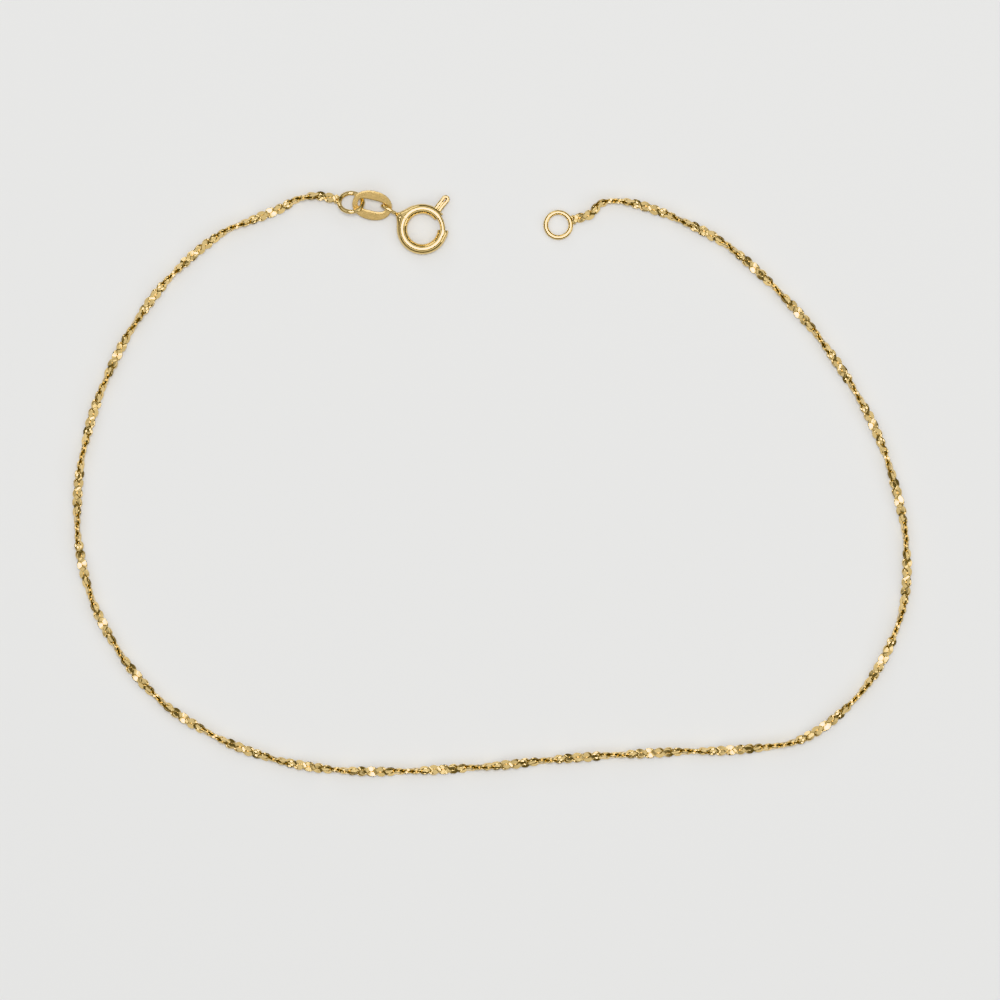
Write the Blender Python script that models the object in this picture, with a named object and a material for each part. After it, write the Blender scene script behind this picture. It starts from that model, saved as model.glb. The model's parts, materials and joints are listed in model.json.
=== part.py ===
"""Gold chain bracelet lying open: serpentine chain, end ring, oval link, spring ring clasp, catch ring."""

import math

import bmesh
import bpy
from mathutils import Vector

# Lengths are in metres and angles in degrees. The bracelet lies on the plane z = 0.

# Chain: the twisted flat chain fills a round tube as wide as its links
CHAIN_WIDTH = 0.00090
CHAIN_STEP = 0.00255
CHAIN_RISE_LENGTH = 0.0080
SOLDER_GAP = 0.00010
# Middle line of the chain seen from above, from the end ring round to the catch ring
CHAIN_ROUTE = (
    (-0.0150, 0.0271),
    (-0.0166, 0.0274),
    (-0.0184, 0.0271),
    (-0.0201, 0.0262),
    (-0.0228, 0.0251),
    (-0.0254, 0.0240),
    (-0.0298, 0.0205),
    (-0.0334, 0.0161),
    (-0.0362, 0.0111),
    (-0.0382, 0.0058),
    (-0.0393, 0.0002),
    (-0.0393, -0.0055),
    (-0.0380, -0.0110),
    (-0.0354, -0.0160),
    (-0.0317, -0.0204),
    (-0.0270, -0.0236),
    (-0.0218, -0.0258),
    (-0.0162, -0.0270),
    (-0.0105, -0.0273),
    (-0.0048, -0.0271),
    (0.0009, -0.0267),
    (0.0065, -0.0261),
    (0.0122, -0.0257),
    (0.0179, -0.0254),
    (0.0236, -0.0252),
    (0.0292, -0.0243),
    (0.0338, -0.0211),
    (0.0372, -0.0165),
    (0.0391, -0.0112),
    (0.0393, -0.0055),
    (0.0382, 0.0001),
    (0.0363, 0.0054),
    (0.0335, 0.0104),
    (0.0302, 0.0150),
    (0.0263, 0.0192),
    (0.0220, 0.0229),
    (0.0169, 0.0255),
    (0.0129, 0.0268),
    (0.0115, 0.0269),
    (0.0102, 0.0266),
    (0.0094, 0.0257),
    (0.0079, 0.0252),
)

# Solder knobs, which join the rings to the chain's first and last link
KNOB_LENGTH = 0.00036
KNOB_WIDTH = 0.00080
KNOB_HEIGHT = 0.00048
KNOB_SINK = 0.00016

# End ring, which leans with its upper side low
END_RING_DIAMETER = 0.00264
END_RING_WIRE = 0.00042
END_RING_TILT = 34.0
END_RING_BEARING = -12.5

# Oval link, a flat band through the end ring and the clasp's ear
OVAL_LENGTH = 0.00380
OVAL_WIDTH = 0.00280
OVAL_HOLE_LENGTH = 0.00268
OVAL_HOLE_WIDTH = 0.00106
OVAL_HOLE_SHIFT = -0.00006
OVAL_THICKNESS = 0.00026
OVAL_BEVEL = 0.00005
OVAL_ROUNDNESS = 2.15
OVAL_HOLE_ROUNDNESS = 3.0
OVAL_BEARING = -7.6
OVAL_YAW = -14.0
OVAL_ROLL = 16.0
OVAL_PITCH = 3.0
OVAL_LIFT = 0.00004
LINK_SLACK = 0.00016

# Clasp: a hollow spring ring with a pinched tail, which carries the ear
CLASP_RADIUS = 0.00193
TUBE_DIAMETER = 0.00098
TUBE_BORE = 0.00066
GATE_START = -4.0
GATE_END = 35.0
TAIL_ANGLE = 150.0
TAIL_REACH = 0.00058
TAIL_PINCH = 14.0
# Sections of the tail, from inside the tube out to its tip: place along it as shares of the
# tube and of the reach, half width as a share of the clasp's radius, height as one of the tube
TAIL_SECTIONS = (
    {"tube": -0.13, "reach": 0.00, "half_width": 0.54, "height": 0.60},
    {"tube": 0.17, "reach": 0.00, "half_width": 0.52, "height": 0.78},
    {"tube": 0.50, "reach": 0.05, "half_width": 0.31, "height": 0.72},
    {"tube": 0.50, "reach": 0.60, "half_width": 0.16, "height": 0.60},
    {"tube": 0.50, "reach": 1.00, "half_width": 0.09, "height": 0.48},
)
EAR_WIRE = 0.00032
EAR_REACH = 0.00140
EAR_SINK = 0.00009
EAR_HEIGHT = 0.00092
EAR_ROUNDNESS = 2.6
EAR_BEARING = -2.0
EAR_STEPS = 28
CLASP_BEARING = -30.0

# Bolt and lever, which slide round inside the tube
BOLT_WIRE = 0.00048
BOLT_SEAT = 8.0
BOLT_TAIL = 14.0
LEVER_ANGLE = 52.0
LEVER_WIDTH = 0.00078
LEVER_THICKNESS = 0.00036
LEVER_REACH = 0.00156
LEVER_EYE_LENGTH = 0.00040
LEVER_EYE_WIDTH = 0.00012
LEVER_EYE_INSET = 0.00036
LEVER_CLEARANCE = 0.00006

# Catch ring, flat on the surface
CATCH_RING_DIAMETER = 0.00284
CATCH_RING_WIRE = 0.00046
CATCH_RING_BEARING = 199.0
CATCH_KNOB_CENTRE = 0.00030

# Fineness of the round shapes
WIRE_SIDES = 12
TUBE_SIDES = 16
RING_STEPS = 40
ARC_STEP = 8.0
OVAL_STEPS = 48

UP = Vector((0.0, 0.0, 1.0))
GOLD = (0.80, 0.58, 0.26, 1.0)
SATIN_GOLD = (0.76, 0.57, 0.29, 1.0)


def gold_material(name, colour, roughness):
    """A metal of the piece's own colour and polish."""
    material = bpy.data.materials.new(name)
    material.use_nodes = True
    shader = material.node_tree.nodes["Principled BSDF"]
    shader.inputs["Base Color"].default_value = colour
    shader.inputs["Metallic"].default_value = 1.0
    shader.inputs["Roughness"].default_value = roughness
    return material


def add_object(name, shape):
    """Turns a bmesh into a named object with smooth round faces."""
    bmesh.ops.recalc_face_normals(shape, faces=shape.faces)
    mesh = bpy.data.meshes.new(name)
    shape.to_mesh(mesh)
    shape.free()
    mesh.shade_smooth()
    mesh.set_sharp_from_angle(angle=math.radians(40.0))
    piece = bpy.data.objects.new(name, mesh)
    bpy.context.scene.collection.objects.link(piece)
    return piece


def combine(piece, helper, operation):
    """Joins a helper shape to a piece or cuts it out, and hides the helper."""
    helper.parent = piece
    helper.hide_render = True
    helper.display_type = "WIRE"
    modifier = piece.modifiers.new(helper.name, "BOOLEAN")
    modifier.operation = operation
    modifier.solver = "EXACT"
    modifier.object = helper


def bearing(angle):
    """Level unit vector at an angle from +X."""
    turn = math.radians(angle)
    return Vector((math.cos(turn), math.sin(turn), 0.0))


def arc(radius, start, end):
    """Points along a level arc round the origin."""
    steps = max(2, math.ceil((end - start) / ARC_STEP))
    return [radius * bearing(start + (end - start) * i / steps) for i in range(steps + 1)]


def round_loop(length, width, roundness, steps):
    """Closed outline as pairs, from an ellipse (2) towards a rectangle (more than 2)."""
    loop = []
    for i in range(steps):
        turn = 2.0 * math.pi * i / steps
        across, along = math.cos(turn), math.sin(turn)
        power = 2.0 / roundness
        x = math.copysign(abs(across) ** power, across) * length / 2.0
        y = math.copysign(abs(along) ** power, along) * width / 2.0
        loop.append((x, y))
    return loop


def bridge(shape, near, far):
    """Quads between two closed loops of corners."""
    for k in range(len(near)):
        after = (k + 1) % len(near)
        shape.faces.new((near[k], near[after], far[after], far[k]))


def wire(path, normal, diameter, sides, closed):
    """Round wire along a path that lies in a plane with the given normal."""
    shape = bmesh.new()
    rings = []
    last = len(path) - 1
    for i, point in enumerate(path):
        ahead = path[(i + 1) % len(path)] if closed or i < last else point
        behind = path[i - 1] if closed or i > 0 else point
        side = (ahead - behind).cross(normal).normalized()
        ring = []
        for k in range(sides):
            turn = 2.0 * math.pi * k / sides
            reach = math.cos(turn) * side + math.sin(turn) * normal
            ring.append(shape.verts.new(point + diameter / 2.0 * reach))
        rings.append(ring)
    for near, far in zip(rings, rings[1:]):
        bridge(shape, near, far)
    if closed:
        bridge(shape, rings[-1], rings[0])
    else:
        shape.faces.new(rings[0])
        shape.faces.new(rings[-1])
    return shape


def smooth_route(points, step):
    """Points a step apart on a smooth curve through the route's points."""
    knots = [Vector((x, y, 0.0)) for x, y in points]
    knots = [2.0 * knots[0] - knots[1]] + knots + [2.0 * knots[-1] - knots[-2]]
    fine = []
    for before, start, end, after in zip(knots, knots[1:], knots[2:], knots[3:]):
        gap_before = (start - before).length ** 0.5
        gap = (end - start).length ** 0.5
        gap_after = (after - end).length ** 0.5
        slope_in = (start - before) / gap_before - (end - before) / (gap_before + gap)
        slope_in = (slope_in + (end - start) / gap) * gap
        slope_out = (end - start) / gap - (after - start) / (gap + gap_after)
        slope_out = (slope_out + (after - end) / gap_after) * gap
        for i in range(24):
            t = i / 24.0
            rise = t * t * (3.0 - 2.0 * t)
            point = start + rise * (end - start)
            point += t * (1.0 - t) * ((1.0 - t) * slope_in - t * slope_out)
            fine.append(point)
    fine.append(knots[-2])
    lengths = [0.0]
    for near, far in zip(fine, fine[1:]):
        lengths.append(lengths[-1] + (far - near).length)
    count = max(2, round(lengths[-1] / step))
    route = []
    place = 0
    for i in range(count + 1):
        wanted = lengths[-1] * i / count
        while place < len(fine) - 2 and lengths[place + 1] < wanted:
            place += 1
        part = (wanted - lengths[place]) / (lengths[place + 1] - lengths[place])
        route.append(fine[place].lerp(fine[place + 1], part))
    return route


def solder_knob(name, centre, angle):
    """Flattened blob of solder, its short side along the chain."""
    shape = bmesh.new()
    bmesh.ops.create_uvsphere(shape, u_segments=12, v_segments=8, radius=0.5)
    for corner in shape.verts:
        corner.co.x *= KNOB_LENGTH
        corner.co.y *= KNOB_WIDTH
        corner.co.z *= KNOB_HEIGHT
    knob = add_object(name, shape)
    knob.location = centre
    knob.rotation_euler.z = math.radians(angle)
    return knob


def ring_path(diameter, wire_diameter):
    """Middle line of a jump ring of the given outer diameter."""
    radius = (diameter - wire_diameter) / 2.0
    return [radius * bearing(360.0 * i / RING_STEPS) for i in range(RING_STEPS)]


def build_chain(start_height):
    """Tube that stands for the chain, rising to the end ring's knob."""
    rest_height = CHAIN_WIDTH / 2.0
    route = smooth_route(CHAIN_ROUTE, CHAIN_STEP)
    curve = bpy.data.curves.new("chain", "CURVE")
    curve.dimensions = "3D"
    curve.bevel_depth = CHAIN_WIDTH / 2.0
    curve.bevel_resolution = 2
    curve.use_fill_caps = True
    spline = curve.splines.new("POLY")
    spline.points.add(len(route) - 1)
    run = 0.0
    for i, point in enumerate(route):
        run += (point - route[i - 1]).length if i else 0.0
        fall = min(1.0, run / CHAIN_RISE_LENGTH)
        share = 1.0 - fall * fall * (3.0 - 2.0 * fall)
        height = rest_height + (start_height - rest_height) * share
        spline.points[i].co = (point.x, point.y, height, 1.0)
    chain = bpy.data.objects.new("chain", curve)
    bpy.context.scene.collection.objects.link(chain)
    chain.data.materials.append(gold_material("chain", GOLD, 0.22))


def build_end_ring(centre, knob_angle):
    """Leaning jump ring with the knob that joins it to the chain."""
    path = ring_path(END_RING_DIAMETER, END_RING_WIRE)
    ring = add_object("end_ring", wire(path, UP, END_RING_WIRE, WIRE_SIDES, True))
    ring.location = centre
    ring.rotation_euler.x = -math.radians(END_RING_TILT)
    reach = END_RING_DIAMETER / 2.0 + KNOB_LENGTH / 2.0 - KNOB_SINK
    knob = solder_knob("end_ring_knob", reach * bearing(knob_angle), knob_angle)
    combine(ring, knob, "UNION")
    ring.data.materials.append(gold_material("end_ring", GOLD, 0.16))


def build_catch_ring(centre, knob_angle):
    """Level jump ring with the knob that joins it to the chain."""
    path = ring_path(CATCH_RING_DIAMETER, CATCH_RING_WIRE)
    ring = add_object("catch_ring", wire(path, UP, CATCH_RING_WIRE, WIRE_SIDES, True))
    ring.location = centre
    reach = CATCH_RING_DIAMETER / 2.0 + KNOB_LENGTH / 2.0 - KNOB_SINK
    knob_place = reach * bearing(knob_angle) + (CATCH_KNOB_CENTRE - centre.z) * UP
    combine(ring, solder_knob("catch_ring_knob", knob_place, knob_angle), "UNION")
    ring.data.materials.append(gold_material("catch_ring", GOLD, 0.16))


def build_oval_link(centre):
    """Flat oval band with small bevels round its outer edge and its hole."""
    shape = bmesh.new()
    half = OVAL_THICKNESS / 2.0
    side = half - OVAL_BEVEL
    outer_inset = 2.0 * OVAL_BEVEL
    outer = (OVAL_LENGTH, OVAL_WIDTH, OVAL_ROUNDNESS, 0.0)
    hole = (OVAL_HOLE_LENGTH, OVAL_HOLE_WIDTH, OVAL_HOLE_ROUNDNESS, OVAL_HOLE_SHIFT)
    sections = (
        (outer, 0.0, side),
        (outer, -outer_inset, half),
        (hole, outer_inset, half),
        (hole, 0.0, side),
        (hole, 0.0, -side),
        (hole, outer_inset, -half),
        (outer, -outer_inset, -half),
        (outer, 0.0, -side),
    )
    loops = []
    for (length, width, roundness, shift), growth, height in sections:
        outline = round_loop(length + growth, width + growth, roundness, OVAL_STEPS)
        loops.append([shape.verts.new((x + shift, y, height)) for x, y in outline])
    for near, far in zip(loops, loops[1:] + loops[:1]):
        bridge(shape, near, far)
    link = add_object("oval_link", shape)
    link.location = centre
    link.rotation_mode = "ZYX"
    link.rotation_euler = (math.radians(OVAL_ROLL), math.radians(OVAL_PITCH), math.radians(OVAL_YAW))
    link.data.materials.append(gold_material("oval_link", SATIN_GOLD, 0.38))


def tail_tip():
    """Distance from the clasp's middle to the tip of its tail."""
    return CLASP_RADIUS + TUBE_DIAMETER / 2.0 + TAIL_REACH


def tail_shape():
    """Pinched end that narrows from the tube's shoulders to the tail's tip, along +X."""
    shape = bmesh.new()
    loops = []
    for section in TAIL_SECTIONS:
        along = CLASP_RADIUS + section["tube"] * TUBE_DIAMETER + section["reach"] * TAIL_REACH
        width = 2.0 * section["half_width"] * CLASP_RADIUS
        outline = round_loop(width, section["height"] * TUBE_DIAMETER, 2.0, WIRE_SIDES)
        loops.append([shape.verts.new((along, y, z)) for y, z in outline])
    for near, far in zip(loops, loops[1:]):
        bridge(shape, near, far)
    shape.faces.new(loops[0])
    shape.faces.new(loops[-1])
    return shape


def ear_shape():
    """Upright closed loop of wire round its own middle, long along X."""
    outline = round_loop(EAR_REACH + EAR_SINK, EAR_HEIGHT, EAR_ROUNDNESS, EAR_STEPS)
    path = [Vector((x, 0.0, z)) for x, z in outline]
    return wire(path, Vector((0.0, 1.0, 0.0)), EAR_WIRE, WIRE_SIDES, True)


def sector_shape(inner, outer, start, end, height):
    """Flat slice of a level disc between two radii and two angles."""
    shape = bmesh.new()
    path = arc(1.0, start, end)
    loops = []
    for ray in path:
        low, high = -height / 2.0 * UP, height / 2.0 * UP
        corners = (inner * ray + low, outer * ray + low, outer * ray + high, inner * ray + high)
        loops.append([shape.verts.new(corner) for corner in corners])
    for near, far in zip(loops, loops[1:]):
        bridge(shape, near, far)
    shape.faces.new(loops[0])
    shape.faces.new(loops[-1])
    return shape


def build_clasp_ring(centre):
    """Hollow tube body, open at the gate and along the lever's slot, with its tail and ear."""
    body_path = arc(CLASP_RADIUS, GATE_END, 360.0 + GATE_START)
    body = add_object("clasp_ring", wire(body_path, UP, TUBE_DIAMETER, TUBE_SIDES, False))
    body.location = centre
    turn = math.radians(TAIL_ANGLE)

    tail = add_object("clasp_tail", tail_shape())
    tail.rotation_euler.z = turn
    combine(body, tail, "UNION")

    ear = add_object("clasp_ear", ear_shape())
    ear.rotation_euler.z = turn
    ear_middle = tail_tip() + (EAR_REACH - EAR_SINK) / 2.0
    ear_rise = (EAR_WIRE + EAR_HEIGHT - TUBE_DIAMETER) / 2.0
    ear.location = ear_middle * bearing(TAIL_ANGLE) + ear_rise * UP
    combine(body, ear, "UNION")

    past_end = ARC_STEP
    bores = (
        ("clasp_bore_bolt", GATE_END - past_end, TAIL_ANGLE - TAIL_PINCH),
        ("clasp_bore_socket", TAIL_ANGLE + TAIL_PINCH, 360.0 + GATE_START + past_end),
    )
    for name, start, end in bores:
        path = arc(CLASP_RADIUS, start, end)
        combine(body, add_object(name, wire(path, UP, TUBE_BORE, WIRE_SIDES, False)), "DIFFERENCE")

    wall_radius = CLASP_RADIUS + TUBE_BORE / 4.0
    half_lever = math.degrees(math.asin((LEVER_WIDTH / 2.0 + LEVER_CLEARANCE) / wall_radius))
    slot = sector_shape(
        CLASP_RADIUS,
        CLASP_RADIUS + TUBE_DIAMETER,
        LEVER_ANGLE - half_lever,
        LEVER_ANGLE + bolt_opening() + half_lever,
        LEVER_THICKNESS + 2.0 * LEVER_CLEARANCE,
    )
    combine(body, add_object("clasp_slot", slot), "DIFFERENCE")
    body.data.materials.append(gold_material("clasp_ring", GOLD, 0.16))


def bolt_opening():
    """Turn that draws the bolt's tip back to the gate's far end."""
    return GATE_END - GATE_START + BOLT_SEAT


def lever_shape():
    """Flat bar with a round end, from the bolt outwards along +X."""
    shape = bmesh.new()
    tip = CLASP_RADIUS + TUBE_DIAMETER / 2.0 + LEVER_REACH
    middle = tip - LEVER_WIDTH / 2.0
    outline = [(CLASP_RADIUS, -LEVER_WIDTH / 2.0)]
    for i in range(9):
        turn = math.radians(-90.0 + 180.0 * i / 8.0)
        outline.append((middle + LEVER_WIDTH / 2.0 * math.cos(turn), LEVER_WIDTH / 2.0 * math.sin(turn)))
    outline.append((CLASP_RADIUS, LEVER_WIDTH / 2.0))
    low = [shape.verts.new((x, y, -LEVER_THICKNESS / 2.0)) for x, y in outline]
    high = [shape.verts.new((x, y, LEVER_THICKNESS / 2.0)) for x, y in outline]
    bridge(shape, low, high)
    shape.faces.new(low)
    shape.faces.new(high)
    return shape


def eye_shape():
    """Long narrow slot through the lever, near its round end."""
    shape = bmesh.new()
    tip = CLASP_RADIUS + TUBE_DIAMETER / 2.0 + LEVER_REACH
    middle = tip - LEVER_EYE_INSET - LEVER_EYE_LENGTH / 2.0
    outline = round_loop(LEVER_EYE_LENGTH, LEVER_EYE_WIDTH, 2.0, WIRE_SIDES)
    low = [shape.verts.new((middle + x, y, -LEVER_THICKNESS)) for x, y in outline]
    high = [shape.verts.new((middle + x, y, LEVER_THICKNESS)) for x, y in outline]
    bridge(shape, low, high)
    shape.faces.new(low)
    shape.faces.new(high)
    return shape


def build_clasp_bolt(centre):
    """Curved bolt across the gate, with the lever that draws it back into the tube."""
    path = arc(CLASP_RADIUS, GATE_START - BOLT_SEAT, LEVER_ANGLE + BOLT_TAIL)
    bolt = add_object("clasp_bolt", wire(path, UP, BOLT_WIRE, WIRE_SIDES, False))
    bolt.location = centre
    turn = math.radians(LEVER_ANGLE)
    lever = add_object("bolt_lever", lever_shape())
    lever.rotation_euler.z = turn
    combine(bolt, lever, "UNION")
    eye = add_object("bolt_eye", eye_shape())
    eye.rotation_euler.z = turn
    combine(bolt, eye, "DIFFERENCE")
    bolt.data.materials.append(gold_material("clasp_bolt", GOLD, 0.18))


def main():
    for old in list(bpy.data.objects):
        bpy.data.objects.remove(old, do_unlink=True)

    # The end ring stands on its low side, and its knob meets the chain's first point
    ring_radius = (END_RING_DIAMETER - END_RING_WIRE) / 2.0
    lean = math.radians(END_RING_TILT)
    knob_reach = END_RING_DIAMETER / 2.0 + KNOB_LENGTH - KNOB_SINK + SOLDER_GAP
    chain_start = Vector((*CHAIN_ROUTE[0], 0.0))
    knob_direction = bearing(180.0 + END_RING_BEARING)
    knob_angle = math.degrees(math.atan2(knob_direction.y / math.cos(lean), knob_direction.x))
    end_ring = chain_start - knob_reach * knob_direction
    end_ring.z = ring_radius * math.sin(lean) + END_RING_WIRE / 2.0
    start_height = end_ring.z - knob_reach * math.sin(lean) * math.sin(math.radians(knob_angle))
    build_end_ring(end_ring, knob_angle)
    build_chain(start_height)

    # The oval link's hole takes the end ring's wire at the height where it runs through
    hole_reach = OVAL_HOLE_LENGTH / 2.0 - LINK_SLACK
    oval_reach = ring_radius + hole_reach + OVAL_HOLE_SHIFT - END_RING_WIRE / 2.0
    oval = end_ring + oval_reach * bearing(OVAL_BEARING)
    wire_place = end_ring + ring_radius * bearing(0.0)
    along = -math.tan(math.radians(OVAL_PITCH)) * (wire_place.x - oval.x)
    across = math.tan(math.radians(OVAL_ROLL)) * (wire_place.y - oval.y)
    oval.z = end_ring.z - along - across + OVAL_LIFT
    build_oval_link(oval)

    # The ear's far end stands in the other end of the hole, and the clasp lies level
    ear_end = oval + (hole_reach + OVAL_HOLE_SHIFT - EAR_WIRE / 2.0) * bearing(EAR_BEARING)
    clasp = ear_end + (tail_tip() + EAR_REACH) * bearing(CLASP_BEARING)
    clasp.z = TUBE_DIAMETER / 2.0
    build_clasp_ring(clasp)
    build_clasp_bolt(clasp)

    # The catch ring lies level beyond the chain's last point
    catch_reach = CATCH_RING_DIAMETER / 2.0 + KNOB_LENGTH - KNOB_SINK + SOLDER_GAP
    catch = Vector((*CHAIN_ROUTE[-1], 0.0)) + catch_reach * bearing(CATCH_RING_BEARING)
    catch.z = CATCH_RING_WIRE / 2.0
    build_catch_ring(catch, CATCH_RING_BEARING - 180.0)


main()
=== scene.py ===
"""Gold chain bracelet on a pale floor: the finish, the fine links and the round wires of each piece."""

import json
import math
import random

import bmesh
import bpy
import numpy as np
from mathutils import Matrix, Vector


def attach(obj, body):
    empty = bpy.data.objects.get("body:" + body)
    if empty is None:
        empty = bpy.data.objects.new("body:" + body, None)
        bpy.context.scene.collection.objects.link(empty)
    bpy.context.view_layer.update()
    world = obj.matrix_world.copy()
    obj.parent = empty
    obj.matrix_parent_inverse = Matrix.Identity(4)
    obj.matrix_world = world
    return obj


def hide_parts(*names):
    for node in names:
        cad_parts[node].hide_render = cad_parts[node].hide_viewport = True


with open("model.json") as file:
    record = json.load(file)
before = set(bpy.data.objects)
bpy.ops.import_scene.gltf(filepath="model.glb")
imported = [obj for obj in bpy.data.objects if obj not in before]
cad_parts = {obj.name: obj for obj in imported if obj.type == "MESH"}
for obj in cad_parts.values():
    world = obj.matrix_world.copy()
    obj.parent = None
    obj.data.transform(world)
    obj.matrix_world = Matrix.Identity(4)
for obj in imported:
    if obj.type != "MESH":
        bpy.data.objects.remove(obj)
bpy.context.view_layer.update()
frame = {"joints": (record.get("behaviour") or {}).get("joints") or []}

# Lengths are in metres and angles in degrees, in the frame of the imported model.

UP = Vector((0.0, 0.0, 1.0))

# Angle between faces from which an edge stays sharp: on swept pieces, on joined ones, on the oval link
SHARP_ANGLE = 35.0
JOINED_SHARP_ANGLE = 38.0
OVAL_SHARP_ANGLE = 28.0

# Photo: metres per pixel on the object, and where the frame's origin lies in it
PIXEL = 0.000095
ORIGIN_PIXEL = (492.3, 484.2)
PHOTO_SIZE = 1000
CAMERA_DISTANCE = 0.60
SENSOR = 36.0
CAMERA_CLIP = (0.01, 20.0)

# Floor: half its side, colour and roughness
FLOOR_REACH = 1.5
FLOOR_COLOUR = (0.76, 0.76, 0.75, 1.0)
FLOOR_ROUGHNESS = 0.85

# Chain: middle line seen from above, from the end ring round to the catch ring
CHAIN_WIDTH = 0.00090
CHAIN_RISE_LENGTH = 0.0080
CHAIN_START_HEIGHT = 0.00060
CHAIN_REST_HEIGHT = 0.00050
CHAIN_FALL_LENGTH = 0.0026
CHAIN_END_HEIGHT = 0.00029
CHAIN_ROUTE = (
    (-0.0150, 0.0271),
    (-0.0166, 0.0274),
    (-0.0184, 0.0271),
    (-0.0201, 0.0262),
    (-0.0228, 0.0251),
    (-0.0254, 0.0240),
    (-0.0298, 0.0205),
    (-0.0334, 0.0161),
    (-0.0362, 0.0111),
    (-0.0382, 0.0058),
    (-0.0393, 0.0002),
    (-0.0393, -0.0055),
    (-0.0380, -0.0110),
    (-0.0354, -0.0160),
    (-0.0317, -0.0204),
    (-0.0270, -0.0236),
    (-0.0218, -0.0258),
    (-0.0162, -0.0270),
    (-0.0105, -0.0273),
    (-0.0048, -0.0271),
    (0.0009, -0.0267),
    (0.0065, -0.0261),
    (0.0122, -0.0257),
    (0.0179, -0.0254),
    (0.0236, -0.0252),
    (0.0292, -0.0243),
    (0.0338, -0.0211),
    (0.0372, -0.0165),
    (0.0391, -0.0112),
    (0.0393, -0.0055),
    (0.0382, 0.0001),
    (0.0363, 0.0054),
    (0.0335, 0.0104),
    (0.0302, 0.0150),
    (0.0263, 0.0192),
    (0.0220, 0.0229),
    (0.0169, 0.0255),
    (0.0129, 0.0268),
    (0.0115, 0.0269),
    (0.0102, 0.0266),
    (0.0094, 0.0257),
    (0.0079, 0.0252),
)

# Spacing of the middle line's points, and how many steps between two places it is worked out from
ROUTE_STEP = 0.0001
ROUTE_FINENESS = 24

# Twist: half turns made by the chain at lengths from its start
TWIST = (
    {"length": 0.0000, "half_turns": -1.05},
    {"length": 0.0061, "half_turns": 0.0},
    {"length": 0.0148, "half_turns": 1.0},
    {"length": 0.0206, "half_turns": 2.0},
    {"length": 0.0333, "half_turns": 4.0},
    {"length": 0.0477, "half_turns": 6.0},
    {"length": 0.0595, "half_turns": 8.0},
    {"length": 0.0844, "half_turns": 12.0},
    {"length": 0.1110, "half_turns": 16.0},
    {"length": 0.1187, "half_turns": 17.0},
    {"length": 0.1280, "half_turns": 18.0},
    {"length": 0.1444, "half_turns": 20.0},
    {"length": 0.1597, "half_turns": 22.0},
    {"length": 0.1784, "half_turns": 25.0},
    {"length": 0.1897, "half_turns": 27.0},
    {"length": 0.1967, "half_turns": 28.0},
)
# Extra turn in radians about each flat place, which makes those shorter and the edge-on ones longer
TWIST_HASTE = 0.10
# Length either side over which the table's turns are averaged, and the shares of it where they are read
TWIST_SPREAD = 0.0015
TWIST_SHIFTS = (-1.0, -0.5, 0.0, 0.5, 1.0)

# Links: closed loops of flat strap, each an S in front and its mirror behind, two columns long
LINK_PITCH = 0.000855
STRAP_WIDTH = 0.00043
STRAP_THICKNESS = 0.00020
STRAP_CHAMFER = 0.00005
HOOK_TAPER = 0.16
MIDDLE_TAPER = 0.12
HOOK_SHARPNESS = 6
LAYER_HEIGHT = 0.000118
LAYER_FLATNESS = 14.0
LOBE_TILT = 0.05
LOBE_SHIFT = 0.000125
LOBE_ROUNDNESS = 2.3
HOOK_TUCK = 0.00008
LINK_STEPS = 48
COLUMN_TURN = 0.30
COLUMN_ROLL = 4.0
COLUMN_LEAN = 2.5
END_SQUEEZE = 0.5
COLUMN_SEED = 11

# Painted shade in the links' recesses: gain of their depth, and how much the outer edges take back
RECESS_SHADE_GAIN = 1.6
RECESS_SHADE_EDGE = 0.9

# Solder at the chain's two ends
SOLDER_SIZE = (0.00050, 0.00032, 0.00038)
SOLDER_REACH = 0.00006
SOLDER_SPREAD = 10.0
SOLDER_SPLAY = 30.0
SOLDER_SEGMENTS = (20, 14)

# Corners round a wire, and places along a round ring
WIRE_SIDES = 24
RING_STEPS = 72

# End ring and catch ring: middle, outer diameter, wire, lean about X and bearing of the solder
END_RING = {
    "middle": (-0.013418, 0.026749, 0.000831),
    "diameter": 0.00264,
    "wire": 0.00042,
    "lean": -34.0,
    "solder": 165.0,
}
CATCH_RING = {
    "middle": (0.006274, 0.024640, 0.000230),
    "diameter": 0.00284,
    "wire": 0.00046,
    "lean": 0.0,
    "solder": 19.0,
}

# Oval link
OVAL_MIDDLE = (-0.011416, 0.026482, 0.000747)
OVAL_TURN = (16.0, 3.0, -14.0)
OVAL_SIZE = (0.00380, 0.00280)
OVAL_HOLE = (0.00268, 0.00106)
OVAL_HOLE_SHIFT = -0.00006
OVAL_THICKNESS = 0.00026
OVAL_EDGE = 0.00006
OVAL_INNER_EDGE = 0.00012
OVAL_ROUNDNESS = 2.15
OVAL_HOLE_ROUNDNESS = 3.0
OVAL_STEPS = 120
OVAL_CORNER_STEPS = 4
# Two more rows of corners on the flat face, as growth of the outer outline and of the hole's
OVAL_FACE_ROWS = (-0.00036, 0.00050)
# A face is satin where its normal has at least this much of the link's own upward direction
OVAL_SATIN_RISE = 0.6

# Clasp: hollow tube ring with a tail that carries the ear
CLASP_RADIUS = 0.00193
TUBE_DIAMETER = 0.00098
TUBE_BORE = 0.00066
GATE_START = -4.0
GATE_END = 35.0
TAIL_ANGLE = 150.0
TAIL_REACH = 0.00058
TAIL_SPREAD = 9.3
TAIL_SHARPNESS = 1.15
TAIL_PINCH = 14.0
# Tail across the tube: how fast it narrows to the sides, squares its section and thins
TAIL_NARROWING = 1.5
TAIL_SQUARING = 0.4
TAIL_THINNING = 0.2
# Pinch along the tail: depth and width of the crease, and height, place and width of the lips beside it
TAIL_CREASE = (0.000070, 1.3)
TAIL_LIPS = (0.000040, 3.8, 1.7)
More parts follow.
